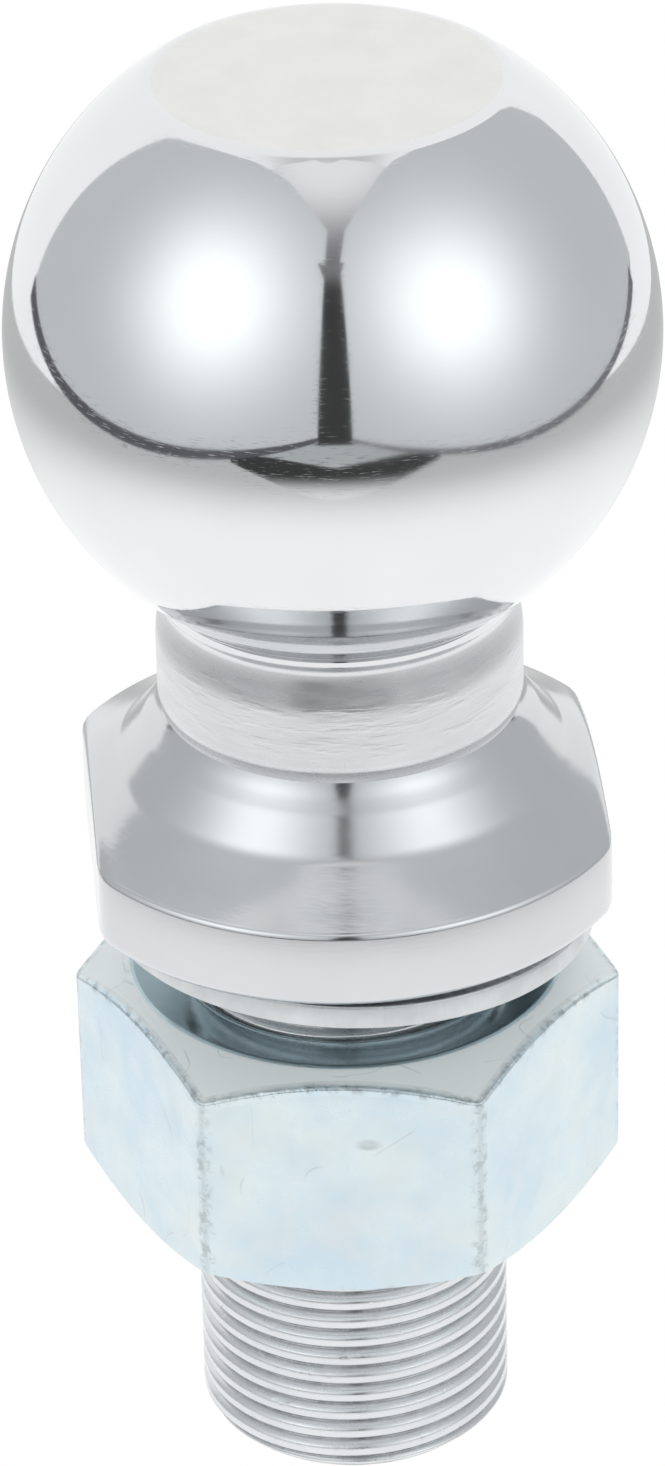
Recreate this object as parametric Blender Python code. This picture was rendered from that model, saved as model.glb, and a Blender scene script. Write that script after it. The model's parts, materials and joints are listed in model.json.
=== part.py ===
"""Trailer hitch ball: a one-piece ball stud with its split lock washer and its hex nut.

Metres, +Z up. The origin is the centre of the shank's flat lower end, and Z is the axis
of the ball, the neck, the collar and the screw thread. The collar's two wrench flats face
+X and -X.
"""

from math import asin, atan2, cos, floor, hypot, pi, radians, sin, sqrt, tan

import bmesh
import bpy
from mathutils import Matrix

# Ball and neck
BALL_R = 0.025
BALL_Z = 0.098
TOP_FLAT_Z = 0.119
TOP_EDGE = 0.0008
NECK_R = 0.0143
NECK_FILLET_R = 0.0015
NECK_FOOT_R = 0.0140
NECK_FOOT_Z = 0.0666
NECK_FOOT_ROUND = 0.0009

# Collar
COLLAR_R = 0.0233
COLLAR_RIM_Z = 0.0585
COLLAR_RIM_ROUND = 0.0004
COLLAR_BASE_Z = 0.05165
COLLAR_LOW_ROUND = 0.0016
COLLAR_DISH = 0.0011
WRENCH_FLATS = 0.040
SEAT_INNER_R = 0.0203
SEAT_RELIEF = 0.0001

# Shank and its right-hand thread, one inch across and 14 to the inch
PITCH = 0.0254 / 14
THREAD_R = 0.0126
THREAD_ROOT_R = 0.01188
THREAD_CREST_WIDTH = 0.00076
THREAD_ANGLE = radians(30)
THREAD_PHASE = radians(200)
THREAD_TOP_Z = 0.0485
RELIEF_R = 0.0113
SHANK_END_R = 0.0115

# Split lock washer, lying loose on the nut with its free end sprung down
WASHER_R = 0.0198
WASHER_BORE_R = 0.01295
WASHER_THICKNESS = 0.0021
WASHER_GAP = 0.0002
WASHER_DROP = 0.0062
WASHER_SPLIT = radians(85)
WASHER_SLOT = radians(4)
WASHER_EDGE = 0.00025

# Hex nut
NUT_FLATS = 0.0381
NUT_HEIGHT = 0.0210
NUT_TOP_Z = 0.0428
NUT_FACE_R = 0.0172
NUT_CHAMFER = radians(28.5)
NUT_CORNER_ROUND = 0.0015
NUT_TURN = radians(-6.8)
NUT_MINOR_R = 0.01212
NUT_THREAD_R = 0.01287
NUT_FLANK_GAP = 0.00012
NUT_COUNTERSINK_R = 0.0135

# Fineness of the round shapes, and how far cutters reach past what they cut
BODY_SIDES = 48
BALL_ROWS = 20
THREAD_SIDES = 20
WASHER_STEPS = 44
SHARP_ANGLE = radians(32)
PAST = 0.001


def clear_scene():
    for obj in list(bpy.data.objects):
        bpy.data.objects.remove(obj, do_unlink=True)


def metal(name, colour, roughness):
    material = bpy.data.materials.new(name)
    material.use_nodes = True
    shader = material.node_tree.nodes["Principled BSDF"]
    shader.inputs["Base Color"].default_value = (*colour, 1.0)
    shader.inputs["Metallic"].default_value = 1.0
    shader.inputs["Roughness"].default_value = roughness
    return material


def new_object(name, bm):
    """An object made of the bmesh, with its faces turned outwards."""
    bmesh.ops.recalc_face_normals(bm, faces=bm.faces)
    mesh = bpy.data.meshes.new(name)
    bm.to_mesh(mesh)
    bm.free()
    obj = bpy.data.objects.new(name, mesh)
    bpy.context.scene.collection.objects.link(obj)
    return obj


def finish(obj, material, origin_z, parent=None):
    """Shades the object, gives it its metal and puts its origin on the Z axis at origin_z."""
    mesh = obj.data
    mesh.materials.clear()
    mesh.materials.append(material)
    mesh.shade_smooth()
    mesh.set_sharp_from_angle(angle=SHARP_ANGLE)
    mesh.transform(Matrix.Translation((0, 0, -origin_z)))
    obj.location.z = origin_z
    if parent:
        obj.parent = parent
        obj.location.z -= parent.matrix_world.translation.z
    bpy.context.view_layer.update()


def boolean(target, cutter, operation):
    """Applies the operation to the target's mesh and removes the cutter."""
    modifier = target.modifiers.new(operation.title(), "BOOLEAN")
    modifier.object = cutter
    modifier.operation = operation
    modifier.solver = "EXACT"
    graph = bpy.context.evaluated_depsgraph_get()
    result = bpy.data.meshes.new_from_object(target.evaluated_get(graph))
    target.modifiers.clear()
    target.data = result
    bpy.data.objects.remove(cutter, do_unlink=True)


def arc(centre_r, centre_z, radius, start, end, steps):
    """Points (r, z) along an arc of a turned outline."""
    angles = [start + (end - start) * i / steps for i in range(steps + 1)]
    return [(centre_r + radius * cos(a), centre_z + radius * sin(a)) for a in angles]


def turned(name, outline):
    """A closed turned body. The outline lists (r, z) and begins and ends on the axis."""
    bm = bmesh.new()
    rings = []
    for r, z in outline:
        count = BODY_SIDES if r else 1
        angles = [2 * pi * i / count for i in range(count)]
        rings.append([bm.verts.new((r * cos(a), r * sin(a), z)) for a in angles])
    for lower, upper in zip(rings, rings[1:]):
        for i in range(BODY_SIDES):
            j = i + 1
            corners = [lower[i % len(lower)], lower[j % len(lower)]]
            corners += [upper[j % len(upper)], upper[i % len(upper)]]
            bm.faces.new(list(dict.fromkeys(corners)))
    return new_object(name, bm)


def fan(bm, loop, tip):
    """Closes a ring of vertices with triangles to one more vertex at the tip."""
    centre = bm.verts.new(tip)
    for here, following in zip(loop, loop[1:] + loop[:1]):
        bm.faces.new([here, following, centre])


def threaded_rod(name, low_z, high_z, crest_r, root_r, half_crest):
    """A closed rod with the right-hand thread, reaching past low_z and high_z.

    One profile, a root corner, two crest corners and a root corner, climbs the helix. Every
    rod has its crests on the same helix, so that a nut cut with one fits the shank.
    """
    half_base = half_crest + (crest_r - root_r) * tan(THREAD_ANGLE)
    profile = [(root_r, -half_base), (crest_r, -half_crest), (crest_r, half_crest), (root_r, half_base)]
    first_turn = floor(low_z / PITCH) - 2
    steps = (floor(high_z / PITCH) + 3 - first_turn) * THREAD_SIDES
    bm = bmesh.new()
    rows = []
    for step in range(steps + 1):
        angle = THREAD_PHASE + 2 * pi * step / THREAD_SIDES
        climb = PITCH * (first_turn + step / THREAD_SIDES)
        places = [(r * cos(angle), r * sin(angle), climb + z) for r, z in profile]
        rows.append([bm.verts.new(place) for place in places])
    for here, following in zip(rows, rows[1:]):
        for k in range(len(profile) - 1):
            bm.faces.new([here[k], following[k], following[k + 1], here[k + 1]])
    for step in range(steps - THREAD_SIDES):
        above = step + THREAD_SIDES
        root = [rows[step][-1], rows[step + 1][-1], rows[above + 1][0], rows[above][0]]
        bm.faces.new(root)
    lower_end = [row[0] for row in rows[: THREAD_SIDES + 1]] + rows[0][:0:-1]
    upper_end = [row[-1] for row in rows[-THREAD_SIDES - 1 :]] + rows[-1][-2::-1]
    fan(bm, lower_end, (0, 0, PITCH * (first_turn - 2)))
    fan(bm, upper_end, (0, 0, PITCH * (first_turn + steps / THREAD_SIDES + 2)))
    return new_object(name, bm)


def dished_slope():
    """The hollow upper face of the collar, from its rim up to the foot of the neck."""
    start_r, start_z = COLLAR_R - COLLAR_RIM_ROUND, COLLAR_RIM_Z
    run, rise = NECK_FOOT_R - start_r, NECK_FOOT_Z - start_z
    length = hypot(run, rise)
    points = []
    steps = 7
    for i in range(1, steps + 1):
        t = i / steps
        dish = 4 * COLLAR_DISH * t * (1 - t)
        points.append((start_r + run * t - dish * rise / length, start_z + rise * t + dish * run / length))
    return points


def body_outline():
    """The stud above its thread, bottom to top: relief, collar, neck, ball and top flat."""
    low, rim = COLLAR_LOW_ROUND, COLLAR_RIM_ROUND
    points = [(0, THREAD_TOP_Z - PITCH), (RELIEF_R, THREAD_TOP_Z - PITCH)]
    relief_z = COLLAR_BASE_Z + SEAT_RELIEF
    points += [(RELIEF_R, relief_z), (SEAT_INNER_R, relief_z), (SEAT_INNER_R, COLLAR_BASE_Z)]
    points += arc(COLLAR_R - low, COLLAR_BASE_Z + low, low, -pi / 2, 0, 4)
    points += arc(COLLAR_R - rim, COLLAR_RIM_Z - rim, rim, 0, pi / 2, 2)
    points += dished_slope()
    points += [(NECK_R, NECK_FOOT_Z + NECK_FOOT_ROUND)]
    fillet_r = NECK_R + NECK_FILLET_R
    fillet_drop = sqrt((BALL_R + NECK_FILLET_R) ** 2 - fillet_r**2)
    meet = atan2(fillet_drop, fillet_r)
    points += arc(fillet_r, BALL_Z - fillet_drop, NECK_FILLET_R, pi, pi - meet, 3)
    flat_height = TOP_FLAT_Z - BALL_Z
    flat_r = sqrt(BALL_R**2 - flat_height**2)
    top = asin(flat_height / BALL_R) - TOP_EDGE / BALL_R
    points += arc(0, BALL_Z, BALL_R, -meet, top, BALL_ROWS)[1:]
    points += [(flat_r - TOP_EDGE, TOP_FLAT_Z), (0, TOP_FLAT_Z)]
    return points


def box(name, low, high):
    bm = bmesh.new()
    bmesh.ops.create_cube(bm, size=1)
    for vert in bm.verts:
        vert.co = [low[i] if vert.co[i] < 0 else high[i] for i in range(3)]
    return new_object(name, bm)


def make_ball_stud(material):
    stud = turned("ball_stud", body_outline())
    thread = threaded_rod("thread", 0, THREAD_TOP_Z, THREAD_R, THREAD_ROOT_R, THREAD_CREST_WIDTH / 2)
    outside = THREAD_R + PAST
    run_out = [(outside, THREAD_TOP_Z - outside + RELIEF_R), (RELIEF_R - PAST, THREAD_TOP_Z + PAST)]
    limits = [(0, 0), (SHANK_END_R, 0), (outside, outside - SHANK_END_R)]
    boolean(thread, turned("limits", limits + run_out + [(0, THREAD_TOP_Z + PAST)]), "INTERSECT")
    boolean(stud, thread, "UNION")
    for side in (-1, 1):
        across = sorted([side * WRENCH_FLATS / 2, side * (COLLAR_R + PAST)])
        low = (across[0], -COLLAR_R, COLLAR_BASE_Z - PAST)
        high = (across[1], COLLAR_R, NECK_FOOT_Z)
        boolean(stud, box("flat", low, high), "DIFFERENCE")
    finish(stud, material, 0)
    return stud


def make_lock_washer(material, stud):
    """A coil of nearly one turn. It leaves the collar slowly, then springs down faster."""
    edge = WASHER_EDGE
    low, high = -WASHER_THICKNESS, 0
    inner, outer = WASHER_BORE_R, WASHER_R
    section = [(inner + edge, low), (outer - edge, low), (outer, low + edge), (outer, high - edge)]
    section += [(outer - edge, high), (inner + edge, high), (inner, high - edge), (inner, low + edge)]
    bm = bmesh.new()
    rows = []
    for step in range(WASHER_STEPS + 1):
        turn = WASHER_SLOT / 2 + (2 * pi - WASHER_SLOT) * step / WASHER_STEPS
        angle = WASHER_SPLIT + turn
        top = COLLAR_BASE_Z - WASHER_GAP - WASHER_DROP * (turn / (2 * pi)) ** 2
        places = [(r * cos(angle), r * sin(angle), top + z) for r, z in section]
        rows.append([bm.verts.new(place) for place in places])
    for here, following in zip(rows, rows[1:]):
        for k in range(len(section)):
            j = (k + 1) % len(section)
            bm.faces.new([here[k], following[k], following[j], here[j]])
    bm.faces.new(rows[0])
    bm.faces.new(rows[-1])
    washer = new_object("lock_washer", bm)
    finish(washer, material, COLLAR_BASE_Z, stud)
    return washer


def hex_prism(name, low_z, high_z):
    """A hexagonal bar with rounded corners."""
    corner_distance = (NUT_FLATS / 2 - NUT_CORNER_ROUND) / cos(pi / 6)
    outline = []
    for corner in range(6):
        direction = NUT_TURN + pi / 3 * corner
        centre = (corner_distance * cos(direction), corner_distance * sin(direction))
        outline += arc(*centre, NUT_CORNER_ROUND, direction - pi / 6, direction + pi / 6, 3)
    bm = bmesh.new()
    lower = [bm.verts.new((x, y, low_z)) for x, y in outline]
    upper = [bm.verts.new((x, y, high_z)) for x, y in outline]
    for i in range(len(outline)):
        bm.faces.new([lower[i - 1], lower[i], upper[i], upper[i - 1]])
    bm.faces.new(lower)
    bm.faces.new(upper)
    return new_object(name, bm)


def make_hex_nut(material, washer):
    low_z, high_z = NUT_TOP_Z - NUT_HEIGHT, NUT_TOP_Z
    nut = hex_prism("hex_nut", low_z - PAST, high_z + PAST)
    outside = NUT_FLATS / 2 / cos(pi / 6) + PAST
    fall = (outside - NUT_FACE_R) * tan(NUT_CHAMFER)
    limits = [(0, low_z), (NUT_FACE_R, low_z), (outside, low_z + fall)]
    limits += [(outside, high_z - fall), (NUT_FACE_R, high_z), (0, high_z)]
    boolean(nut, turned("limits", limits), "INTERSECT")
    wide, narrow = NUT_COUNTERSINK_R + PAST, NUT_MINOR_R - PAST
    depth = NUT_COUNTERSINK_R - narrow
    bore = [(0, low_z - PAST), (wide, low_z - PAST), (narrow, low_z + depth)]
    bore += [(narrow, high_z - depth), (wide, high_z + PAST), (0, high_z + PAST)]
    boolean(nut, turned("bore", bore), "DIFFERENCE")
    half_crest = THREAD_CREST_WIDTH / 2 + NUT_FLANK_GAP
    half_crest -= (NUT_THREAD_R - THREAD_R) * tan(THREAD_ANGLE)
    tap = threaded_rod("tap", low_z, high_z, NUT_THREAD_R, NUT_MINOR_R, half_crest)
    boolean(nut, tap, "DIFFERENCE")
    finish(nut, material, NUT_TOP_Z - NUT_HEIGHT / 2, washer)
    return nut


def main():
    clear_scene()
    chrome = metal("chrome", (0.78, 0.79, 0.80), 0.12)
    zinc = metal("washer_zinc", (0.66, 0.68, 0.68), 0.45)
    pale_zinc = metal("nut_zinc", (0.72, 0.76, 0.78), 0.35)
    stud = make_ball_stud(chrome)
    washer = make_lock_washer(zinc, stud)
    make_hex_nut(pale_zinc, washer)


main()
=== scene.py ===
"""Looks for the trailer hitch ball: a chromed ball stud, a zinc lock washer and a zinc hex nut.

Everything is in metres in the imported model's frame: +Z up, origin at the centre of the shank's
flat lower end, Z the common axis. The collar's two wrench flats face +X and -X.
"""

import json
from math import acos, asin, atan2, ceil, cos, floor, hypot, pi, radians, sin, sqrt, tan

import bmesh
import bpy
from mathutils import Matrix, Vector


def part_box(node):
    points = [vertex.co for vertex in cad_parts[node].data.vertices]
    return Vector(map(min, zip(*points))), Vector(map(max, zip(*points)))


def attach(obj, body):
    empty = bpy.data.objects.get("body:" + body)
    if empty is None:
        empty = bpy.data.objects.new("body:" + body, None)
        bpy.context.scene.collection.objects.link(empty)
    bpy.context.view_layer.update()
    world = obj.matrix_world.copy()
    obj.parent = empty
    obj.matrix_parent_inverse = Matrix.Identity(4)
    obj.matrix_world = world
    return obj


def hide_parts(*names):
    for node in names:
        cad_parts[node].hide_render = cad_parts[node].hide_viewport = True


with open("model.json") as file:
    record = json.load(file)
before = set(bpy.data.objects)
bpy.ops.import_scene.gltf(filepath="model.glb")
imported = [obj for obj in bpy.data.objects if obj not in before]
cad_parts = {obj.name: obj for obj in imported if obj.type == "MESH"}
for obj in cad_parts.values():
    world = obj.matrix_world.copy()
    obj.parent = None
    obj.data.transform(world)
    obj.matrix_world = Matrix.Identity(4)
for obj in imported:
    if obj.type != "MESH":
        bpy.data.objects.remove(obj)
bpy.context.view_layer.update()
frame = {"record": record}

# ---------------------------------------------------------------- sizes
# Outer sizes and flat faces come from the frame. The rest are the design's own figures.
STUD_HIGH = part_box("ball_stud")[1]
NUT_LOW, NUT_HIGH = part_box("hex_nut")
MOUNTS = {mount["name"]: mount["pos_m"] for mount in frame["record"]["mounts"]}

TOP_Z = STUD_HIGH.z
BALL_R = STUD_HIGH.x
TOP_RISE = 0.021
BALL_Z = TOP_Z - TOP_RISE
TOP_EDGE = 0.0005
NECK_R = 0.0143
NECK_FILLET = 0.0015
FILLET_R = NECK_R + NECK_FILLET
FILLET_DROP = sqrt((BALL_R + NECK_FILLET) ** 2 - FILLET_R**2)
NECK_TOP_Z = BALL_Z - FILLET_DROP
NECK_WAIST = 0.00036
WAIST_Z = NECK_TOP_Z - 0.0045
WAIST_RISE = 0.0038
WAIST_LIP = 0.0003
NECK_FOOT_R = 0.0140
NECK_FOOT_Z = 0.0666
NECK_FOOT_ROUND = 0.0009
NECK_SUNK = 0.0004
NECK_SUNK_R = 0.012

COLLAR_R = 0.0233
COLLAR_RIM_Z = 0.0585
COLLAR_RIM_ROUND = 0.0005
COLLAR_BASE_Z = MOUNTS["drawbar_seat"][2]
COLLAR_LOW_ROUND = 0.0016
COLLAR_BELLY = 0.0001
COLLAR_TUCK = 0.002
FLAT_X = MOUNTS["wrench_flat_right"][0]
FLAT_ROUND = 0.0009
SEAT_INNER_R = 0.0203
SEAT_RELIEF = 0.0001
SEAT_TUCK = 0.0004

PITCH = 0.0254 / 14
THREAD_R = 0.0126
THREAD_ROOT_R = 0.01188
THREAD_CREST_WIDTH = 0.00076
THREAD_ANGLE = radians(30)
THREAD_PHASE = radians(200)
THREAD_TOP_Z = 0.0485
THREAD_BEVEL = 0.00006
RELIEF_R = 0.0113
SHANK_END_R = 0.0115
TIP = 0.001

WASHER_R = 0.0198
WASHER_BORE_R = 0.01295
WASHER_THICKNESS = 0.0021
WASHER_GAP = 0.0002
WASHER_DROP = 0.0062
WASHER_SPLIT = radians(85)
WASHER_SLOT = radians(4)
WASHER_ROUND = 0.0003

NUT_FLATS = 0.0381
NUT_SIDE = NUT_FLATS / 2
NUT_SECTOR = pi / 6
NUT_TOP_Z = NUT_HIGH.z
NUT_BASE_Z = NUT_LOW.z
NUT_FACE_R = 0.0172
NUT_CHAMFER = radians(28.5)
NUT_CORNER_ROUND = 0.0015
NUT_TURN = radians(-6.8)
NUT_MINOR_R = 0.01212
NUT_THREAD_R = 0.01287
NUT_FLANK_GAP = 0.00012
NUT_COUNTERSINK_R = 0.0135
NUT_EDGE_ROUNDS = (0.0004, 0.0003, 0.0003, 0.0004)
NUT_EDGE_STEPS = (6, 5, 24, 5, 6)

SIDES = 144
MERGE = 1e-7
SAME_DIGITS = 8
TINY = 1e-6


# ---------------------------------------------------------------- outlines
def lerp(a, b, t):
    return tuple(p + (q - p) * t for p, q in zip(a, b))


def smooth(t):
    """An ease from 0 to 1 that starts and ends level."""
    return t * t * (3 - 2 * t)


def divided(start, end, count):
    """That many points from start towards end, without the end itself."""
    return [lerp(start, end, i / count) for i in range(count)]


def run(start, end, step):
    """Points from start towards end at most a step apart, without the end itself."""
    length = hypot(end[0] - start[0], end[1] - start[1])
    return divided(start, end, max(1, ceil(length / step)))


def arc(x, z, radius, start, end, steps):
    turns = [start + (end - start) * i / steps for i in range(steps + 1)]
    return [(x + radius * cos(turn), z + radius * sin(turn)) for turn in turns]


def rounded(before, corner, after, radius, steps=5):
    """An arc of that radius in place of a corner between two straight runs."""
    into = Vector(before) - Vector(corner)
    out = Vector(after) - Vector(corner)
    into.normalize()
    out.normalize()
    half = acos(max(-1, min(1, into.dot(out)))) / 2
    setback = radius / tan(half)
    first, last = Vector(corner) + into * setback, Vector(corner) + out * setback
    centre = Vector(corner) + (into + out).normalized() * radius / sin(half)
    start, end = first - centre, last - centre
    sweep = pi - 2 * half
    points = []
    for i in range(steps + 1):
        t = i / steps
        blend = (start * sin((1 - t) * sweep) + end * sin(t * sweep)) / sin(sweep)
        points.append(tuple(centre + blend))
    return points


def filleted(points, radii, counts):
    """A line through the points with its inner corners rounded and its straight runs divided."""
    corners = [[points[0]]]
    for before, corner, after, radius in zip(points, points[1:], points[2:], radii):
        corners.append(rounded(before, corner, after, radius))
    corners.append([points[-1]])
    line = []
    for here, following, count in zip(corners, corners[1:], counts):
        line += here[:-1] + divided(here[-1], following[0], count)
    return line + corners[-1]


# ---------------------------------------------------------------- meshes
def new_object(name, bm, materials):
    """A smooth-shaded object from a bmesh whose coinciding points are merged first."""
    bmesh.ops.remove_doubles(bm, verts=bm.verts, dist=MERGE)
    bmesh.ops.recalc_face_normals(bm, faces=bm.faces)
    mesh = bpy.data.meshes.new(name)
    bm.to_mesh(mesh)
    bm.free()
    for material in materials:
        mesh.materials.append(material)
    mesh.shade_smooth()
    obj = bpy.data.objects.new(name, mesh)
    bpy.context.scene.collection.objects.link(obj)
    return obj


def ring_grid(bm, rings, material_index=0):
    """Faces between rings of points, each ring closed on itself."""
    rows = [[bm.verts.new(point) for point in ring] for ring in rings]
    for here, following in zip(rows, rows[1:]):
        for k in range(len(here)):
            j = (k + 1) % len(here)
            corners = [here[k], here[j], following[j], following[k]]
            face = bm.faces.new(corners)
            face.material_index = material_index
    return rows


def cap(bm, row, material_index=0):
    """A fan from a ring to its middle."""
    middle = sum((vert.co for vert in row), Vector()) / len(row)
    centre = bm.verts.new(middle)
    for k in range(len(row)):
        face = bm.faces.new([row[k], row[(k + 1) % len(row)], centre])
        face.material_index = material_index


def compass():
    return [2 * pi * i / SIDES for i in range(SIDES)]


def lathe_rings(outline, angles, reach=None):
    """Rings of a turned shape. reach(radius, angle) may pull a point in."""
    rings = []
    for r, z in outline:
        ring = []
        for angle in angles:
            at = reach(r, angle) if reach else r
            ring.append((at * cos(angle), at * sin(angle), z))
        rings.append(ring)
    return rings


def thread_radius(z, crest_z, crest_r, root_r, half_crest):
    """The radius of a 60-degree thread at a height."""
    away = abs((z - crest_z) / PITCH - floor((z - crest_z) / PITCH + 0.5)) * PITCH
    slope = (away - half_crest) / tan(THREAD_ANGLE)
    depth = crest_r - root_r
    return crest_r - min(max(slope, 0), depth)


def thread_steps(crest_r, root_r, half_crest):
    """Heights in one pitch, in pitches from a crest. They straddle each corner and bevel it."""
    flank = (crest_r - root_r) * tan(THREAD_ANGLE)
    up = [0, half_crest - THREAD_BEVEL, half_crest + THREAD_BEVEL, half_crest + flank / 2]
    up += [half_crest + flank - THREAD_BEVEL, half_crest + flank + THREAD_BEVEL]
    down = [PITCH - height for height in reversed(up[1:])]
    return [height / PITCH for height in up + down]


def helix_rows(angles, low_z, high_z, profile, phase, low_end, high_end, limit):
    """Columns of a helical surface from low_z to high_z, as a list of columns of (r, z).

    The column after the last one is the first one again, one pitch higher. Points past either
    end fold onto that end's circle, so merging by distance closes the surface there.
    """
    crest_r, root_r, half_crest = profile
    steps = thread_steps(*profile)
    first = floor(low_z / PITCH) - 2
    turns = ceil((high_z - low_z) / PITCH) + 4
    columns = []
    for angle in [*angles, angles[0] + 2 * pi]:
        rise = (angle - phase) / (2 * pi)
        column = []
        for turn in range(first, first + turns):
            for step in steps:
                z = (turn + step + rise) * PITCH
                if z <= low_z:
                    column.append((low_end, low_z))
                elif z >= high_z:
                    column.append((high_end, high_z))
                else:
                    r = thread_radius(z, rise * PITCH, crest_r, root_r, half_crest)
                    column.append((limit(r, z), z))
        columns.append(column)
    return columns


def add_helix(bm, angles, columns):
    """Faces between the columns of a helical surface, without those folded flat at its ends."""
    verts = []
    for k, column in enumerate(columns):
        angle = angles[k % len(angles)]
        verts.append([bm.verts.new((r * cos(angle), r * sin(angle), z)) for r, z in column])
    for here, following in zip(verts, verts[1:]):
        for j in range(len(here) - 1):
            corners = [here[j], following[j], following[j + 1], here[j + 1]]
            if len({tuple(round(c, SAME_DIGITS) for c in vert.co) for vert in corners}) > 2:
                bm.faces.new(corners)


# ---------------------------------------------------------------- materials
MICRON = 1e-6
SCALAR_RESULTS = ("DISTANCE", "DOT_PRODUCT", "LENGTH")

CHROME_LIGHT, CHROME_DARK = (0.82, 0.83, 0.84), (0.76, 0.775, 0.79)
FACED_LIGHT, FACED_DARK = (0.86, 0.86, 0.85), (0.78, 0.78, 0.77)
SATIN_LIGHT, SATIN_DARK = (0.80, 0.81, 0.82), (0.72, 0.735, 0.75)
COLLAR_LIGHT, COLLAR_DARK = (0.71, 0.72, 0.735), (0.62, 0.635, 0.65)
THREAD_LIGHT, THREAD_DARK = (0.80, 0.815, 0.83), (0.66, 0.68, 0.70)
# Painted shade in the thread's roots.
THREAD_ROOT_SHADE = (0.20, 0.21, 0.22)
WASHER_LIGHT, WASHER_DARK = (0.76, 0.78, 0.79), (0.58, 0.60, 0.61)
ZINC_LIGHT, ZINC_BLUE, ZINC_WARM = (0.72, 0.80, 0.815), (0.60, 0.73, 0.81), (0.74, 0.76, 0.75)
# Painted shade: the nut's flat top face is tinted a dark teal that stands in for the shaded gap under
# the collar reflected in it.
FACE_SHADE_PALE, FACE_SHADE_DEEP = (0.50, 0.62, 0.66), (0.36, 0.46, 0.50)
# Painted highlight: the chamfer's paler zinc stands in for the light it catches.
CHAMFER_PAINTED_LIGHT = (0.90, 0.945, 0.955)
ZINC_PITTED, ZINC_SCRATCH = (0.33, 0.36, 0.37), (0.45, 0.50, 0.52)
ZINC_WORN = (0.50, 0.55, 0.57)

FACING_PITCH = 0.00035
NECK_BLEND = 0.0002
CHATTER_START = (0.0680, 0.0695)
CHATTER_END = (0.0728, 0.0745)
# How far out from the thread's root the painted shade reaches.
ROOT_SHADE_DEPTH = 0.0003
SHEAR_MARKS_PER_RADIAN = 30
DENT_ASIDE = 0.0021
DENT_Z = 0.0367
DENT_SIZE = (0.0010, 0.0010, 0.0005)


class Nodes:
    """Writes a material's node tree. Ranges are given as (low, high) and colours as (r, g, b)."""

    def __init__(self, name):
        self.material = bpy.data.materials.new(name)
        self.material.use_nodes = True
        self.tree = self.material.node_tree
        self.shader = self.tree.nodes["Principled BSDF"]
        self.place = self.node("ShaderNodeTexCoord").outputs["Object"]

    def node(self, kind, **settings):
        node = self.tree.nodes.new(kind)
        for key, value in settings.items():
            setattr(node, key, value)
        return node

    def link(self, source, target):
        self.tree.links.new(source, target)

    def feed(self, value, socket):
        if isinstance(value, (int, float)):
            socket.default_value = value
        else:
            self.link(value, socket)

    def math(self, operation, *values):
        node = self.node("ShaderNodeMath", operation=operation)
        for value, socket in zip(values, node.inputs):
            self.feed(value, socket)
        return node.outputs["Value"]

    def vector(self, operation, source, value=None):
        """A vector operation on a socket and, where it takes two, a fixed vector."""
        node = self.node("ShaderNodeVectorMath", operation=operation)
        self.link(source, node.inputs[0])
        if value is not None:
            node.inputs[1].default_value = value
        return node.outputs["Value" if operation in SCALAR_RESULTS else "Vector"]

    def spread(self, value, source, target, curve="LINEAR"):
        """The value's range source, mapped to the range target and kept inside it."""
        node = self.node("ShaderNodeMapRange", clamp=True, interpolation_type=curve)
        self.feed(value, node.inputs["Value"])
        sockets = ("From Min", "From Max", "To Min", "To Max")
        for socket, number in zip(sockets, (*source, *target)):
            node.inputs[socket].default_value = number
        return node.outputs["Result"]


class Metal(Nodes):
    """A metal, with the patterns that mottle, roughen and bump it."""

    def __init__(self, name, roughness):
        super().__init__(name)
        self.shader.inputs["Roughness"].default_value = roughness
        self.shader.inputs["Metallic"].default_value = 1.0

    def noise(self, scale, detail=3.0, rough=0.5, stretch=None, distortion=0.0):
        """Noise in the frame, its scale in cycles to the metre."""
        node = self.node("ShaderNodeTexNoise")
        self.link(self.stretched(stretch) if stretch else self.place, node.inputs["Vector"])
        node.inputs["Scale"].default_value = scale
        node.inputs["Detail"].default_value = detail
        node.inputs["Roughness"].default_value = rough
        node.inputs["Distortion"].default_value = distortion
        return node.outputs["Fac"]

    def stretched(self, scale):
        node = self.node("ShaderNodeMapping")
        self.link(self.place, node.inputs["Vector"])
        node.inputs["Scale"].default_value = scale
        return node.outputs["Vector"]

    def mix(self, share, first, second):
        node = self.node("ShaderNodeMix", data_type="RGBA")
        self.feed(share, node.inputs["Factor"])
        for socket, colour in ((node.inputs["A"], first), (node.inputs["B"], second)):
            if isinstance(colour, tuple):
                socket.default_value = (*colour, 1)
            else:
                self.link(colour, socket)
        return node.outputs["Result"]

    def axis(self, name):
        node = self.node("ShaderNodeSeparateXYZ")
        self.link(self.place, node.inputs["Vector"])
        return node.outputs[name]

    def angle(self):
        """The angle round Z."""
        return self.math("ARCTAN2", self.axis("Y"), self.axis("X"))

    def radius(self):
        """The distance from Z."""
        sides = (self.axis("X"), self.axis("Y"))
        squares = [self.math("MULTIPLY", side, side) for side in sides]
        return self.math("SQRT", self.math("ADD", *squares))

    def colour(self, value):
        self.link(value, self.shader.inputs["Base Color"])

    def roughness(self, value):
        self.link(value, self.shader.inputs["Roughness"])

    def bump(self, height, distance, strength=1.0, after=None):
        """Bumps on top of those of another bump. The shader takes the bump that is made last."""
        node = self.node("ShaderNodeBump")
        self.link(height, node.inputs["Height"])
        node.inputs["Distance"].default_value = distance
        node.inputs["Strength"].default_value = strength
        if after is not None:
            self.link(after, node.inputs["Normal"])
        self.link(node.outputs["Normal"], self.shader.inputs["Normal"])
        return node.outputs["Normal"]


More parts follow.
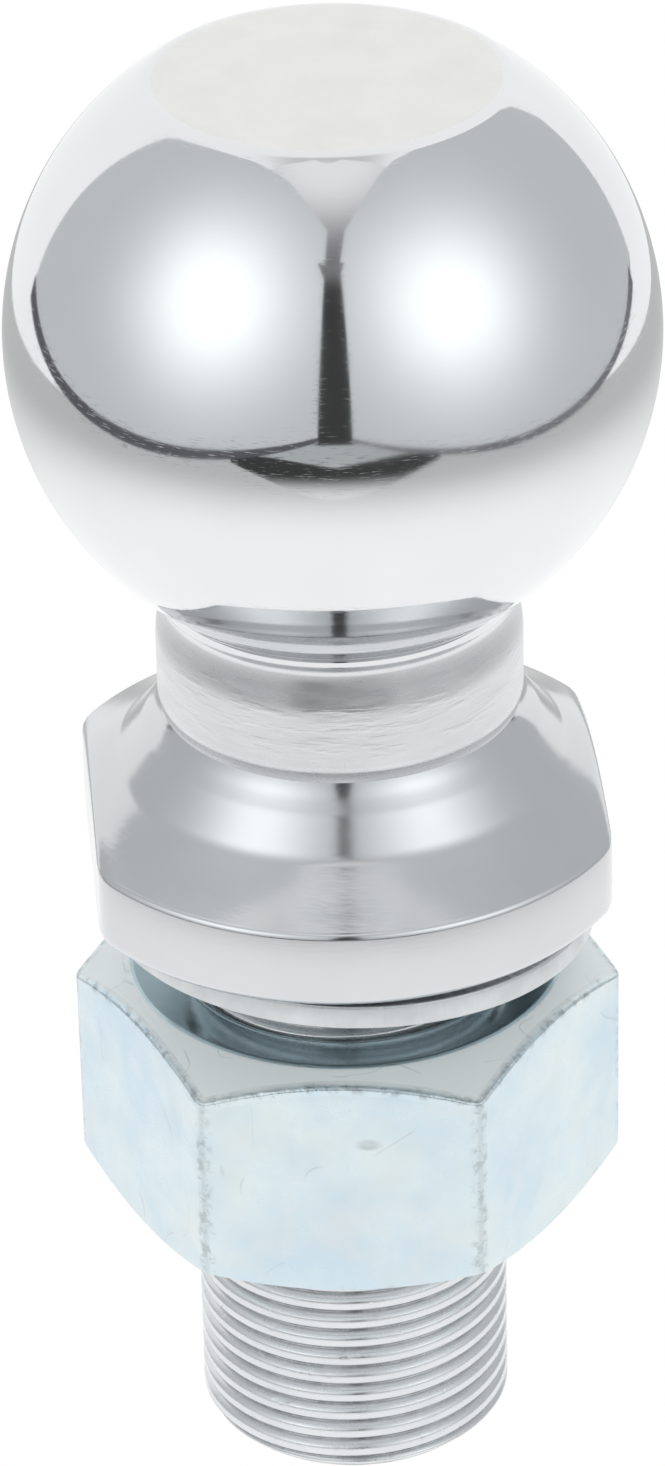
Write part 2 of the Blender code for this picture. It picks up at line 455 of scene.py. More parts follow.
def polished_chrome():
    """Mirror chrome with faint waviness, hazy patches and hairline scratches."""
    n = Metal("polished_chrome", 0.05)
    patches = n.spread(n.noise(45, 3), (0.35, 0.7), (0, 1))
    n.colour(n.mix(patches, CHROME_LIGHT, CHROME_DARK))
    n.roughness(n.spread(n.noise(70, 4, 0.6), (0.35, 0.75), (0.035, 0.10)))
    wave = n.bump(n.noise(90, 2, 0.4), 30 * MICRON, 0.35)
    scratch = n.spread(n.noise(900, 2, 0.5, stretch=(1, 1, 14)), (0.62, 0.78), (0, 1))
    n.bump(scratch, 6 * MICRON, 0.22, wave)
    return n.material


def faced_top():
    """The ball's flat top: faced on the lathe, matt and pale."""
    n = Metal("faced_top", 0.42)
    n.colour(n.mix(n.noise(160, 5, 0.6), FACED_LIGHT, FACED_DARK))
    n.roughness(n.spread(n.noise(300, 4, 0.6), (0.3, 0.7), (0.36, 0.5)))
    rings = n.math("SINE", n.math("MULTIPLY", n.radius(), 2 * pi / FACING_PITCH))
    turned = n.bump(rings, 3 * MICRON, 0.25)
    n.bump(n.noise(1200, 3, 0.6), 10 * MICRON, 0.25, turned)
    return n.material


def turned_chrome():
    """The neck: satin plate with short chatter marks half way down and a brighter fillet on top."""
    n = Metal("turned_chrome", 0.2)
    z = n.axis("Z")
    satin = n.spread(z, (NECK_TOP_Z - NECK_BLEND, NECK_TOP_Z + NECK_BLEND), (1, 0))
    n.colour(n.mix(n.noise(120, 4, 0.6), SATIN_LIGHT, SATIN_DARK))
    grain = n.spread(n.noise(150, 4, 0.6, stretch=(1, 1, 5)), (0.3, 0.75), (0.15, 0.27))
    n.roughness(n.math("ADD", n.math("MULTIPLY", satin, grain), 0.06))
    band = n.math("MULTIPLY", n.spread(z, CHATTER_START, (0, 1)), n.spread(z, CHATTER_END, (1, 0)))
    marks = n.spread(n.noise(330, 2, 0.5, stretch=(1, 1, 5)), (0.5, 0.72), (0, 1))
    chatter = n.bump(n.math("MULTIPLY", marks, band), 30 * MICRON, 0.4)
    turning = n.math("MULTIPLY", n.noise(600, 3, 0.6, stretch=(1, 1, 8)), satin)
    lines = n.bump(turning, 6 * MICRON, 0.3, chatter)
    n.bump(n.noise(75, 3, 0.5), 60 * MICRON, 0.3, lines)
    return n.material


def collar_chrome():
    """The collar: polished, a little softer than the ball, with fine turning lines."""
    n = Metal("collar_chrome", 0.1)
    n.colour(n.mix(n.noise(70, 4, 0.6), COLLAR_LIGHT, COLLAR_DARK))
    n.roughness(n.spread(n.noise(110, 4, 0.6), (0.3, 0.75), (0.10, 0.20)))
    wave = n.bump(n.noise(130, 3, 0.5), 50 * MICRON, 0.5)
    n.bump(n.noise(800, 3, 0.6, stretch=(1, 1, 5)), 10 * MICRON, 0.35, wave)
    return n.material


def thread_metal():
    """The thread: bright plate with small dings, and painted shade darkening its roots."""
    n = Metal("thread_metal", 0.24)
    # Painted shade: darker towards the roots, broken up by speckles.
    root_shade = n.spread(n.radius(), (THREAD_ROOT_R, THREAD_ROOT_R + ROOT_SHADE_DEPTH), (1, 0))
    speckle = n.spread(n.noise(500, 4, 0.7), (0.45, 0.7), (0.6, 1))
    clean = n.mix(n.noise(160, 4, 0.6), THREAD_LIGHT, THREAD_DARK)
    n.colour(n.mix(n.math("MULTIPLY", root_shade, speckle), clean, THREAD_ROOT_SHADE))
    n.roughness(n.spread(n.noise(350, 4, 0.6), (0.3, 0.75), (0.18, 0.36)))
    dings = n.bump(n.spread(n.noise(330, 3, 0.6), (0.62, 0.8), (1, 0)), 100 * MICRON, 0.6)
    n.bump(n.noise(1500, 2, 0.6, stretch=(1, 1, 3)), 12 * MICRON, 0.4, dings)
    return n.material


def washer_zinc():
    """Matt zinc with the shear marks of its cut edge, which run up and down it."""
    n = Metal("washer_zinc", 0.38)
    n.colour(n.mix(n.noise(220, 5, 0.7), WASHER_LIGHT, WASHER_DARK))
    n.roughness(n.spread(n.noise(400, 4, 0.6), (0.3, 0.7), (0.3, 0.5)))
    shear = n.node("ShaderNodeTexNoise", noise_dimensions="1D")
    n.link(n.math("MULTIPLY", n.angle(), SHEAR_MARKS_PER_RADIAN), shear.inputs["W"])
    shear.inputs["Scale"].default_value = 1.0
    shear.inputs["Detail"].default_value = 4
    marks = n.bump(shear.outputs["Fac"], 120 * MICRON, 0.6)
    n.bump(n.noise(900, 3, 0.6), 20 * MICRON, 0.4, marks)
    return n.material


def nut_zinc():
    """Bright zinc with its faint blue cast: mottled and scuffed, with burred, pitted edges, painted
    shade on its flat top face and a painted highlight on its chamfer.
    """
    n = Metal("nut_zinc", 0.3)
    on_top = n.spread(n.axis("Z"), (NUT_TOP_Z - 0.0002, NUT_TOP_Z - 0.0001), (0, 1))
    off_side = n.spread(across_nut(n), (NUT_SIDE - 0.0005, NUT_SIDE - 0.0002), (1, 0))
    on_side = n.math("SUBTRACT", 1.0, off_side)
    on_chamfer = n.math("MULTIPLY", off_side, n.math("SUBTRACT", 1.0, on_top))
    edges = edge_share(n)
    specks = n.spread(n.noise(900, 3, 0.7), (0.50, 0.62), (0, 0.6))
    ridge = n.spread(nut_corner(n), (radians(0.3), radians(1.1)), (0.45, 0))
    hairs = n.noise(85, 2, 0.5, stretch=(1, 1, 0.6), distortion=0.5)
    line = n.spread(n.math("ABSOLUTE", n.math("SUBTRACT", hairs, 0.5)), (0, 0.005), (1, 0))
    broken = n.math("MULTIPLY", line, n.spread(n.noise(260, 2), (0.50, 0.58), (0, 0.42)))
    pit = dent_height(n)

    body = n.mix(n.spread(n.noise(75, 4, 0.6), (0.38, 0.62), (0, 1)), ZINC_LIGHT, ZINC_BLUE)
    body = n.mix(n.spread(n.noise(140, 3, 0.6), (0.5, 0.7), (0, 0.5)), body, ZINC_WARM)
    # Painted shade: the flat top face takes the dark teal tint, a painted reflection of the shaded gap
    # under the collar.
    body = n.mix(on_top, body, n.mix(n.noise(260, 3, 0.6), FACE_SHADE_PALE, FACE_SHADE_DEEP))
    # Painted highlight: the chamfer is paler zinc, standing in for the light it catches.
    body = n.mix(on_chamfer, body, CHAMFER_PAINTED_LIGHT)
    body = n.mix(n.math("MULTIPLY", specks, edges), body, ZINC_PITTED)
    body = n.mix(n.math("MULTIPLY", ridge, on_side), body, ZINC_WORN)
    body = n.mix(broken, body, ZINC_SCRATCH)
    n.colour(n.mix(n.spread(pit, (0, 1), (0.6, 0)), body, ZINC_WORN))

    rough = n.spread(n.noise(260, 4, 0.6), (0.3, 0.75), (0.22, 0.40))
    rough = n.math("MULTIPLY", rough, n.spread(on_top, (0, 1), (1.0, 0.5)))
    n.roughness(n.math("ADD", rough, n.math("MULTIPLY", on_chamfer, 0.32)))
    n.link(n.spread(on_chamfer, (0, 1), (1.0, 0.45)), n.shader.inputs["Metallic"])

    dent = n.bump(pit, 120 * MICRON, 0.4)
    scuffs = n.bump(broken, -30 * MICRON, 0.5, dent)
    burrs = n.bump(n.math("MULTIPLY", n.noise(650, 3, 0.65), edges), 220 * MICRON, 0.8, scuffs)
    n.bump(n.noise(420, 4, 0.65), 40 * MICRON, 0.4, burrs)
    return n.material


def nut_corner(n):
    """The angle from the nearest of the nut's six upright edges."""
    turned = n.math("SUBTRACT", n.angle(), NUT_TURN)
    return n.math("ABSOLUTE", n.math("WRAP", turned, NUT_SECTOR, -NUT_SECTOR))


def across_nut(n):
    """The distance from the axis, measured square to the nearest of the nut's sides."""
    aside = n.math("SUBTRACT", NUT_SECTOR, nut_corner(n))
    return n.math("MULTIPLY", n.radius(), n.math("COSINE", aside))


def edge_share(n):
    """How near a point is to an upright edge of the nut or its upper chamfer line: 0 to 1."""
    upright = n.spread(nut_corner(n), (radians(0.8), radians(2.4)), (1, 0))
    rise = n.math("SUBTRACT", NUT_TOP_Z, n.axis("Z"))
    outward = n.math("SUBTRACT", n.radius(), NUT_FACE_R)
    fall = n.math("MULTIPLY", outward, tan(NUT_CHAMFER))
    near = n.math("ABSOLUTE", n.math("SUBTRACT", rise, fall))
    at_side = n.spread(across_nut(n), (NUT_SIDE - 0.0007, NUT_SIDE - 0.0002), (0, 1))
    arc_line = n.math("MULTIPLY", n.spread(near, (0.0001, 0.0006), (1, 0)), at_side)
    return n.math("MAXIMUM", n.math("MULTIPLY", upright, at_side), arc_line)


def dent_height(n):
    """A shallow oval dent in the front face: 0 in its middle, 1 outside it."""
    front = NUT_TURN - pi / 2
    node = n.node("ShaderNodeMapping", vector_type="TEXTURE")
    n.link(n.place, node.inputs["Vector"])
    node.inputs["Location"].default_value = (
        NUT_SIDE * cos(front) - DENT_ASIDE * sin(front),
        NUT_SIDE * sin(front) + DENT_ASIDE * cos(front),
        DENT_Z,
    )
    node.inputs["Rotation"].default_value = (0, 0, front + pi / 2)
    node.inputs["Scale"].default_value = DENT_SIZE
    return n.spread(n.vector("LENGTH", node.outputs["Vector"]), (0.5, 1.2), (0, 1))


# ---------------------------------------------------------------- the ball stud
CHROME, FACED, NECK = range(3)
SHOULDER_PULL = 0.6
SHOULDER_STEPS = 8
FACE_STEP = 0.0008
RIM_SWEEP = radians(68)


def neck_line():
    """The neck's outline from its foot in the collar up to the fillet under the ball."""
    foot_end = (NECK_R, NECK_FOOT_Z + NECK_FOOT_ROUND)
    line = run((NECK_FOOT_R, NECK_FOOT_Z - NECK_SUNK), foot_end, step=0.0002)
    line += run(foot_end, (NECK_R, WAIST_Z), step=0.0004)
    steps = 12
    for i in range(steps + 1):
        t = i / steps
        line.append((NECK_R - NECK_WAIST * smooth(t), WAIST_Z + WAIST_RISE * t))
    line.append((NECK_R - NECK_WAIST / 2, NECK_TOP_Z - WAIST_LIP))
    return line


def make_ball_and_neck(chrome, top, neck):
    """The ball with its faced top, and the neck down into the collar."""
    meet = atan2(FILLET_DROP, FILLET_R)
    edge = asin(TOP_RISE / BALL_R)
    low = neck_line() + arc(FILLET_R, NECK_TOP_Z, NECK_FILLET, pi, pi - meet, 6)[:-1]
    ball = arc(0, BALL_Z, BALL_R, -meet, edge - TOP_EDGE / BALL_R, 90)
    shoulder = soft_shoulder(ball[-1], (BALL_R * cos(edge), TOP_Z))
    face = run((shoulder[-1][0], TOP_Z), (FACE_STEP, TOP_Z), step=FACE_STEP)[1:]
    sunk = (NECK_SUNK_R, NECK_FOOT_Z - NECK_SUNK)
    angles = compass()
    bm = bmesh.new()
    rows = ring_grid(bm, lathe_rings([sunk] + low + ball[:1], angles), NECK)
    ring_grid(bm, lathe_rings(ball, angles), CHROME)
    ring_grid(bm, lathe_rings([ball[-1]] + shoulder, angles), CHROME)
    last = ring_grid(bm, lathe_rings([shoulder[-1]] + face, angles), FACED)
    cap(bm, last[-1], FACED)
    cap(bm, rows[0], NECK)
    return new_object("ball_and_neck", bm, [chrome, top, neck])


def soft_shoulder(start, corner):
    """The rounded edge between the ball and its flat top."""
    end = (corner[0] - TOP_EDGE, TOP_Z)
    leave, arrive = lerp(start, corner, SHOULDER_PULL), lerp(end, corner, SHOULDER_PULL)
    points = []
    for i in range(1, SHOULDER_STEPS + 1):
        t = i / SHOULDER_STEPS
        a, b, c = lerp(start, leave, t), lerp(leave, arrive, t), lerp(arrive, end, t)
        points.append(lerp(lerp(a, b, t), lerp(b, c, t), t))
    return points


def collar_reach(r, angle):
    """The collar's radius in a direction, held in by the two wrench flats with softened edges."""
    flat = FLAT_X / max(abs(cos(angle)), TINY)
    blend = max(FLAT_ROUND - abs(r - flat), 0) / FLAT_ROUND
    return min(r, flat) - blend * blend * FLAT_ROUND / 4


# The slope's tilt in degrees at shares of its way from the rim to the neck. It steepens half
# way up, eases at a soft ridge near the neck, and then curls up into the neck.
SLOPE_TILTS = ((0.0, 32), (0.45, 36), (0.55, 52), (0.76, 53), (0.80, 47), (0.84, 48), (1.0, 66))
SLOPE_STEPS = 72


def slope_tilt(t):
    for (a, first), (b, second) in zip(SLOPE_TILTS, SLOPE_TILTS[1:]):
        if t <= b:
            return radians(first + (second - first) * smooth((t - a) / (b - a)))


def slope(low, high):
    """The collar's dished slope from its rim to the neck, scaled to end at both points."""
    path = [(0.0, 0.0)]
    for i in range(SLOPE_STEPS):
        tilt = slope_tilt((i + 0.5) / SLOPE_STEPS)
        path.append((path[-1][0] - cos(tilt), path[-1][1] + sin(tilt)))
    wide, tall = (high[0] - low[0]) / path[-1][0], (high[1] - low[1]) / path[-1][1]
    return [(low[0] + x * wide, low[1] + z * tall) for x, z in path[1:]]


def collar_outline():
    """The collar's outline from the bore of its underside, round the rim and up to the neck."""
    low, rim = COLLAR_LOW_ROUND, COLLAR_RIM_ROUND
    relief_z = COLLAR_BASE_Z + SEAT_RELIEF
    points = [(RELIEF_R - SEAT_TUCK, relief_z)]
    points += run((RELIEF_R, relief_z), (SEAT_INNER_R, relief_z), step=0.001)
    points += [(SEAT_INNER_R, relief_z), (SEAT_INNER_R, COLLAR_BASE_Z)]
    points += arc(COLLAR_R - low, COLLAR_BASE_Z + low, low, -pi / 2, 0, 9)
    side_low, side_high = COLLAR_BASE_Z + low, COLLAR_RIM_Z - rim
    steps = 12
    for i in range(1, steps):
        t = i / steps
        belly = 4 * COLLAR_BELLY * t * (1 - t)
        points.append((COLLAR_R + belly, side_low + (side_high - side_low) * t))
    points += arc(COLLAR_R - rim, COLLAR_RIM_Z - rim, rim, 0, RIM_SWEEP, 6)
    points += slope(points[-1], (NECK_FOOT_R, NECK_FOOT_Z))
    return points + [(NECK_FOOT_R - COLLAR_TUCK, NECK_FOOT_Z)]


def make_collar(material):
    bm = bmesh.new()
    rows = ring_grid(bm, lathe_rings(collar_outline(), compass(), collar_reach))
    cap(bm, rows[0])
    cap(bm, rows[-1])
    return new_object("collar", bm, [material])


def shank_limit(r, z):
    """The thread's radius with the end's chamfer and the run-out below the collar."""
    chamfer = SHANK_END_R + z
    run_out = RELIEF_R + (THREAD_TOP_Z - z)
    return min(r, chamfer, run_out)


def make_shank(material):
    angles = compass()
    profile = (THREAD_R, THREAD_ROOT_R, THREAD_CREST_WIDTH / 2)
    ends = (SHANK_END_R, RELIEF_R)
    columns = helix_rows(angles, 0, THREAD_TOP_Z, profile, THREAD_PHASE, *ends, shank_limit)
    bm = bmesh.new()
    add_helix(bm, angles, columns)
    top = (RELIEF_R, COLLAR_BASE_Z + SEAT_RELIEF)
    groove = run((RELIEF_R, THREAD_TOP_Z), top, step=0.0008) + [top]
    end = run((SHANK_END_R, 0), (TIP, 0), step=0.0015)
    for outline in (groove, end):
        cap(bm, ring_grid(bm, lathe_rings(outline, angles))[-1])
    return new_object("threaded_shank", bm, [material])


# ---------------------------------------------------------------- the lock washer
def washer_section():
    """The washer's cross-section with its corners rounded, its upper face at height 0."""
    low, high = -WASHER_THICKNESS, 0
    corners = [(WASHER_R, low), (WASHER_R, high), (WASHER_BORE_R, high), (WASHER_BORE_R, low)]
    section = []
    for i in range(4):
        before, corner, after = corners[i - 1], corners[i], corners[(i + 1) % 4]
        section += rounded(before, corner, after, WASHER_ROUND, steps=4)
    return section


def make_washer(material):
    """One turn of the section, level where it starts and sprung down at its other end."""
    section = washer_section()
    steps = 220
    rings = []
    for i in range(steps + 1):
        turn = WASHER_SLOT / 2 + (2 * pi - WASHER_SLOT) * i / steps
        top = COLLAR_BASE_Z - WASHER_GAP - WASHER_DROP * (turn / (2 * pi)) ** 2
        angle = WASHER_SPLIT + turn
        rings.append([(r * cos(angle), r * sin(angle), top + z) for r, z in section])
    bm = bmesh.new()
    rows = ring_grid(bm, rings)
    bm.faces.new(rows[0])
    bm.faces.new(rows[-1])
    return new_object("split_lock_washer", bm, [material])


# ---------------------------------------------------------------- the hex nut
CROWDING = 1.7


def nut_angles():
    """Directions round the nut from a corner at 0, closest together at its six corners."""
    steps = 12
    angles = []
    for corner in range(6):
        for i in range(-steps, steps):
            share = abs(i / steps) ** CROWDING * (1 if i >= 0 else -1)
            angles.append(2 * corner * NUT_SECTOR + share * NUT_SECTOR)
    return sorted(angle % (2 * pi) for angle in angles)


def hexagon_reach(angle):
    """The distance from the axis to the side of a hexagon with rounded corners."""
    corner = abs((angle + NUT_SECTOR) % (2 * NUT_SECTOR) - NUT_SECTOR)
    centre = (NUT_SIDE - NUT_CORNER_ROUND) / cos(NUT_SECTOR)
    tangent = atan2(NUT_CORNER_ROUND / 2, centre + NUT_CORNER_ROUND * cos(NUT_SECTOR))
    if corner < tangent:
        return centre * cos(corner) + sqrt(NUT_CORNER_ROUND**2 - (centre * sin(corner)) ** 2)
    return NUT_SIDE / cos(NUT_SECTOR - corner)


def nut_column(angle):
    """The nut's outer line in one direction: top face, chamfer, side, chamfer, lower face."""
    reach = hexagon_reach(angle)
    fall = (reach - NUT_FACE_R) * tan(NUT_CHAMFER)
    inner = NUT_COUNTERSINK_R
    points = [(inner, NUT_TOP_Z), (NUT_FACE_R, NUT_TOP_Z), (reach, NUT_TOP_Z - fall)]
    points += [(reach, NUT_BASE_Z + fall), (NUT_FACE_R, NUT_BASE_Z), (inner, NUT_BASE_Z)]
    return filleted(points, NUT_EDGE_ROUNDS, NUT_EDGE_STEPS)


def nut_bore_limit(r, z):
    """The thread's radius with a countersink at both ends."""
    top = NUT_COUNTERSINK_R - (NUT_TOP_Z - z)
    base = NUT_COUNTERSINK_R - (z - NUT_BASE_Z)
    return max(r, top, base)


def make_nut(material):
    """The nut's threaded bore and its outer skin, turned to where the photo has it."""
    angles = nut_angles()
    world_angles = [angle + NUT_TURN for angle in angles]
    half_crest = THREAD_CREST_WIDTH / 2 + NUT_FLANK_GAP
    half_crest -= (NUT_THREAD_R - THREAD_R) * tan(THREAD_ANGLE)
    profile = (NUT_THREAD_R, NUT_MINOR_R, half_crest)
    phase = THREAD_PHASE - NUT_TURN
    ends = (NUT_COUNTERSINK_R, NUT_COUNTERSINK_R)
    columns = helix_rows(angles, NUT_BASE_Z, NUT_TOP_Z, profile, phase, *ends, nut_bore_limit)
    bm = bmesh.new()
    add_helix(bm, world_angles, columns)
    outer = [nut_column(angle) for angle in angles]
    rings = []
    for level in zip(*outer):
        turned = zip(world_angles, level)
        rings.append([(r * cos(angle), r * sin(angle), z) for angle, (r, z) in turned])
    ring_grid(bm, rings)
    return new_object("hex_nut_body", bm, [material])


# ---------------------------------------------------------------- camera and studio
CAMERA_TARGET = Vector((0, 0, 0.06269))
CAMERA_PLACE = Vector((-0.0339, -0.4309, 0.3152))
CAMERA_ROLL = radians(-1.29)
CAMERA_SENSOR = 36
CAMERA_LENS = 156.67
CAMERA_SHIFT = -0.00626
CAMERA_NEAR = 0.01
FRONT = atan2(CAMERA_PLACE.y, CAMERA_PLACE.x)

# Each panel's corners as (across, height), from the foot round. across grows away from the camera.
PANEL_AWAY = 0.25
PANEL_TURN = radians(66)
PANEL_LEFT = ((-0.44, 0.0), (-0.515, 1.10), (-0.075, 1.0), (0.40, 0.50), (0.45, 0.02))
PANEL_RIGHT = (
    (-0.44, 0.0),
    (0.55, 0.02),
    (0.94, 0.39),
    (0.875, 0.55),
    (0.25, 0.82),
    (-0.025, 0.91),
    (-0.385, 0.885),
    (-0.4625, 0.70),
)
PANEL_MIDDLE = Vector((0, 0.45))
EDGE_WIDTH = 0.012
EDGE_BEHIND = 0.004
EDGE_GREY = (0.34, 0.35, 0.36)
HEM_BEFORE = 0.003
HEM_ENDS = (-0.44, 0.46)
HEM_KINK = 0.2
HEM_RISE = 0.016
HEM_TAPER = 0.7
HEM_CAST = 1.08

# Each lamp as (turn, climb) seen from the ball's middle.
LAMP_LEFT = (radians(-47), radians(29.5))
LAMP_RIGHT = (radians(46), radians(27))
CLOTH_GLOW = 0.60
CLOTH_COLOUR = (0.975, 1.0, 1.005)
LAMP_GLOW = 0.85
LAMP_WIDTH = radians(27)

# Each panel as (name, side, corners, lamp, height of its hem, grey of its hem).
PANELS = (
    ("softbox_left", -1, PANEL_LEFT, LAMP_LEFT, 0.021, 0.11),
    ("softbox_right", 1, PANEL_RIGHT, LAMP_RIGHT, 0.014, 0.18),
)

ROOM_REACH = 0.75
UPPER_REACH = 1.3
CEILING_HEIGHT = BALL_Z + 1.35
CEILING_RADII = (0.001, 0.15, 0.3, 0.45, 0.6)
# The dark patch of floor seen in reflections in front of the stud; no table is modelled.
DARK_PATCH_TURN = radians(34)
DARK_PATCH_STEPS = 20
DARK_PATCH_NEAR = 0.275
DARK_PATCH_BULGE = 0.105
DARK_PATCH_FAR = 0.278
DARK_PATCH_WIDENING = 0.05
DARK_PATCH_WIDE_TURN = 0.35
DARK_PATCH_HEIGHT = 0.0004
PAPER_RADII = tuple(0.0001 + 0.30 * j / 12 for j in range(13))
PAPER_HEIGHT = 0.0002
PAPER_FRONT_RADII = tuple(0.29 + 0.17 * j / 4 for j in range(5))
PAPER_FRONT_HEIGHT = 0.0001
PAPER_FRONT_TURN = radians(30)
PAPER_FAR_GREY = (0.46, 0.48, 0.48)
FLOOR_SIZE = 4.0
WHITE = (1, 1, 1)


def make_camera():
    data = bpy.data.cameras.new("camera")
    data.sensor_width = CAMERA_SENSOR
    data.lens = CAMERA_LENS
    data.shift_x = CAMERA_SHIFT
    data.clip_start = CAMERA_NEAR
    camera = bpy.data.objects.new("camera", data)
    bpy.context.scene.collection.objects.link(camera)
    look = (CAMERA_TARGET - CAMERA_PLACE).to_track_quat("-Z", "Y")
    turn = look.to_matrix() @ Matrix.Rotation(CAMERA_ROLL, 3, "Z")
    camera.matrix_world = Matrix.Translation(CAMERA_PLACE) @ turn.to_4x4()
    bpy.context.scene.camera = camera


class Glow(Nodes):
    """A sheet that gives off light and takes none."""

    def __init__(self, name, colour):
        super().__init__(name)
        nodes = self.tree.nodes
        nodes.remove(self.shader)
        self.shader = self.node("ShaderNodeEmission")
        self.shader.inputs["Color"].default_value = (*colour, 1)
        self.shader.inputs["Strength"].default_value = 1.0
        self.link(self.shader.outputs["Emission"], nodes["Material Output"].inputs["Surface"])

    def strength(self, value):
        self.link(value, self.shader.inputs["Strength"])


def fading_glow(name, centre, distances, strengths):
    """A glow that goes from one strength to another with the distance from a point."""
    n = Glow(name, WHITE)
    away = n.vector("DISTANCE", n.place, centre)
    n.strength(n.spread(away, distances, strengths, curve="SMOOTHERSTEP"))
    return n.material


def lamp_cloth(name, lamp):
    """Diffuser cloth with a lamp behind it: the glow falls off with the angle from the lamp."""
    n = Glow(name, CLOTH_COLOUR)
    ball = Vector((0, 0, BALL_Z))
    ray = n.vector("NORMALIZE", n.vector("SUBTRACT", n.place, ball))
    aim = Vector(toward(*lamp, 1.0)) - ball
    angle = n.math("ARCCOSINE", n.vector("DOT_PRODUCT", ray, aim))
    square = n.math("POWER", n.math("DIVIDE", angle, LAMP_WIDTH), 2.0)
    fall = n.math("EXPONENT", n.math("MULTIPLY", square, -1.0))
    n.strength(n.math("ADD", n.math("MULTIPLY", fall, LAMP_GLOW), CLOTH_GLOW))
    return n.material


def toward(turn, climb, reach):
    """A point round the ball's middle: turn is counted from the camera's side, climb from level."""
    flat = reach * cos(climb)
    return (flat * cos(FRONT + turn), flat * sin(FRONT + turn), BALL_Z + reach * sin(climb))


def on_panel(side, across, height, away=PANEL_AWAY):
    """A point of an upright panel beside the ball."""
    turn = FRONT + side * PANEL_TURN
    out, along = Vector((cos(turn), sin(turn), 0)), Vector((-sin(turn), cos(turn), 0)) * side
    return tuple(out * away + along * across + Vector((0, 0, height)))


def dome(half_turn, climbs, reach, steps):
    """Columns of points of a patch of a sphere round the ball's middle. Angles in degrees."""
    low, high = climbs
    columns = []
    for i in range(steps + 1):
        turn = radians(half_turn * (2 * i / steps - 1))
        column = [radians(low + (high - low) * j / steps) for j in range(steps + 1)]
        columns.append([toward(turn, climb, reach) for climb in column])
    return columns


def level(turn, radius, height):
    """A point at a height, a radius out from Z."""
    return (radius * cos(turn), radius * sin(turn), height)


def fan(radii, height, start, end, steps):
    """Columns of points of a flat sector about Z, each from the middle outward."""
    turns = [start + (end - start) * i / steps for i in range(steps + 1)]
    return [[level(turn, radius, height) for radius in radii] for turn in turns]


def make_sheet(name, verts, faces, material):
    """A sheet of studio gear, seen only in reflections."""
    mesh = bpy.data.meshes.new(name)
    mesh.from_pydata(verts, [], faces)
    mesh.materials.append(material)
    sheet = bpy.data.objects.new(name, mesh)
    bpy.context.scene.collection.objects.link(sheet)
    sheet.visible_camera = False


def make_card(name, columns, material):
    """A sheet from columns of points."""
    rows = len(columns[0])
    verts = [point for column in columns for point in column]
    faces = []
    for i in range(len(columns) - 1):
        for j in range(rows - 1):
            a, b = i * rows + j, (i + 1) * rows + j
            faces.append([a, b, b + 1, a + 1])
    make_sheet(name, verts, faces, material)


def make_plate(name, verts, material):
    """A sheet of one flat face."""
    make_sheet(name, verts, [list(range(len(verts)))], material)


def make_softboxes():
    """The two lit panels either side, each with a grey edge and a dark hem along its foot."""
    for name, side, corners, lamp, hem, dark in PANELS:
        verts = [on_panel(side, across, height) for across, height in corners]
        make_plate(name, verts, lamp_cloth(name + "_cloth", lamp))
        verts = []
        for corner in corners:
            out = (Vector(corner) - PANEL_MIDDLE).normalized() * EDGE_WIDTH
            across, height = Vector(corner) + out
            verts.append(on_panel(side, across, height, PANEL_AWAY + EDGE_BEHIND))
        make_plate(name + "_edge", verts, Glow(name + "_rim", EDGE_GREY).material)
        start, end = HEM_ENDS
        foot = [(start, 0), (end, 0), (end, hem + HEM_RISE), (HEM_KINK, hem), (start, hem * HEM_TAPER)]
        verts = [on_panel(side, across, height, PANEL_AWAY - HEM_BEFORE) for across, height in foot]
        grey = Glow(name + "_hem", (dark, dark, dark * HEM_CAST))
        make_plate(name + "_hem", verts, grey.material)


def make_dark_room():
    """The unlit room seen between the panels, and the paler cloth above that gap."""
    deep = toward(0, radians(10), ROOM_REACH)
    dark = fading_glow("dark_room", deep, (0.36, 0.50), (0.05, 0.22))
    make_card("room_gap", dome(12, (-13, 49), ROOM_REACH, 8), dark)
    above = toward(0, radians(88), UPPER_REACH)
    cloth = fading_glow("upper_cloth", above, (0.1, 0.95), (0.92, 0.20))
    make_card("upper_front", dome(75, (48.6, 86.6), UPPER_REACH, 12), cloth)


def make_ceiling():
    """The ceiling over the panels, dimmer straight above."""
    glow = fading_glow("ceiling_glow", (0, 0, CEILING_HEIGHT), (0.15, 0.55), (0.66, 0.98))
    make_card("ceiling", fan(CEILING_RADII, CEILING_HEIGHT, 0, 2 * pi, 36), glow)


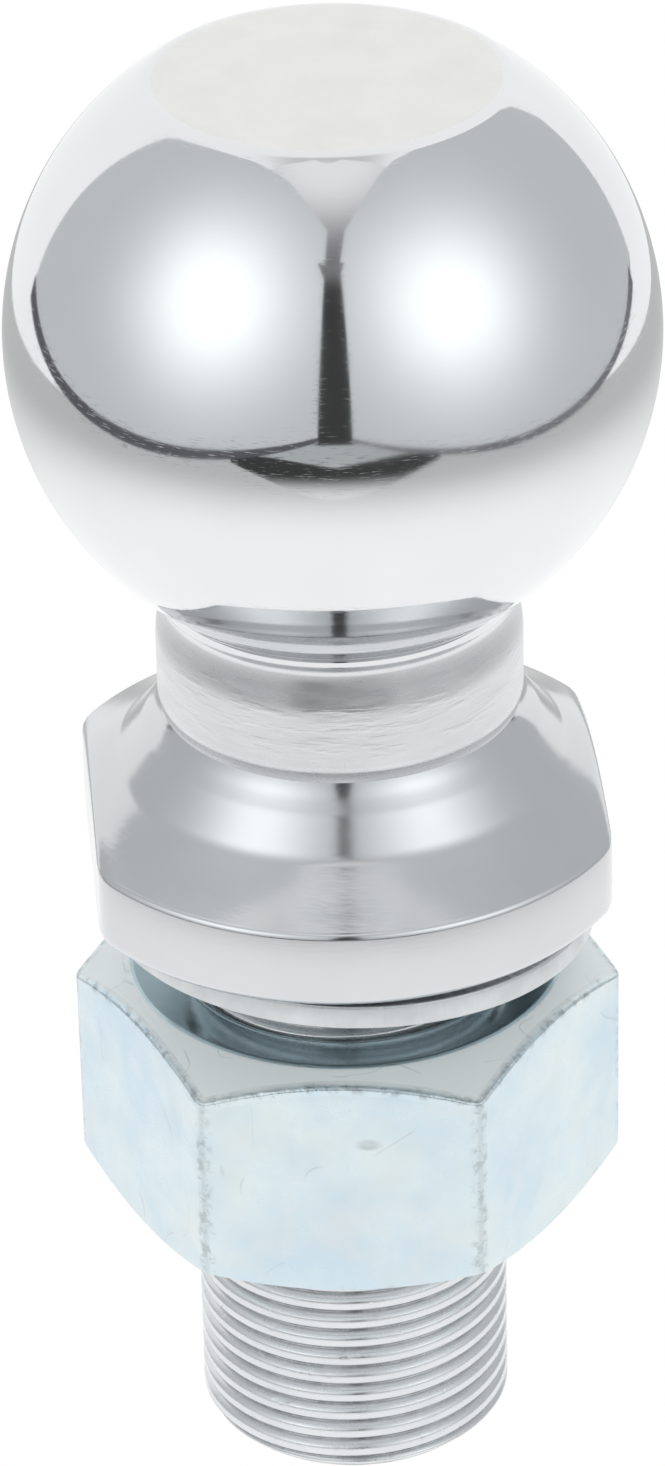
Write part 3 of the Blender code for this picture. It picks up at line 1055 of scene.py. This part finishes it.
def make_dark_floor_patch():
    """A dark patch of floor on the camera's side, tapering off to both sides."""
    columns = []
    for i in range(-DARK_PATCH_STEPS, DARK_PATCH_STEPS + 1):
        turn = DARK_PATCH_TURN * i / DARK_PATCH_STEPS
        near = DARK_PATCH_NEAR - DARK_PATCH_BULGE * cos(i / DARK_PATCH_STEPS * pi / 2)
        far = DARK_PATCH_FAR + DARK_PATCH_WIDENING * min(abs(turn) / DARK_PATCH_WIDE_TURN, 1)
        columns.append([level(FRONT + turn, radius, DARK_PATCH_HEIGHT) for radius in (near, far)])
    # A dark sheet on the floor, seen only in reflections.
    gap = fading_glow("table_gap", (0, 0, 0), (0.16, 0.25), (0.86, 0.05))
    make_card("table_edge", columns, gap)


def make_paper():
    """The white paper round the shank as the metal sees it, with painted light: brightest close to it
    and greyer further out.
    """
    # Painted light: the glow fades from bright beside the shank to grey further out.
    paper = fading_glow("paper_glow", (0, 0, 0), (0.08, 0.24), (1.06, 0.55))
    around = fan(PAPER_RADII, PAPER_HEIGHT, FRONT, FRONT + 2 * pi, 72)
    make_card("paper_near", around, paper)
    start, end = FRONT - PAPER_FRONT_TURN, FRONT + PAPER_FRONT_TURN
    front = fan(PAPER_FRONT_RADII, PAPER_FRONT_HEIGHT, start, end, 12)
    make_card("paper_front", front, Glow("paper_far", PAPER_FAR_GREY).material)


def make_floor():
    """The white floor that the camera sees. The metal mirrors the studio's own sheets instead."""
    s = FLOOR_SIZE
    mesh = bpy.data.meshes.new("floor")
    mesh.from_pydata([(-s, -s, 0), (s, -s, 0), (s, s, 0), (-s, s, 0)], [], [[0, 1, 2, 3]])
    mesh.materials.append(Glow("floor_white", WHITE).material)
    floor = bpy.data.objects.new("floor", mesh)
    bpy.context.scene.collection.objects.link(floor)
    floor.visible_glossy = False


def make_world():
    world = bpy.data.worlds.new("studio")
    world.use_nodes = True
    background = world.node_tree.nodes["Background"]
    background.inputs["Color"].default_value = (*WHITE, 1)
    background.inputs["Strength"].default_value = 1.0
    bpy.context.scene.world = world


def place(piece, body, node):
    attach(piece, body)
    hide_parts(node)


def main():
    bpy.context.scene.view_settings.view_transform = "Standard"
    make_camera()
    make_world()
    make_floor()
    make_softboxes()
    make_dark_room()
    make_ceiling()
    make_dark_floor_patch()
    make_paper()
    stud = (
        make_ball_and_neck(polished_chrome(), faced_top(), turned_chrome()),
        make_collar(collar_chrome()),
        make_shank(thread_metal()),
    )
    for piece in stud:
        place(piece, "ball_stud", "ball_stud")
    place(make_washer(washer_zinc()), "lock_washer", "lock_washer")
    place(make_nut(nut_zinc()), "hex_nut", "hex_nut")


main()
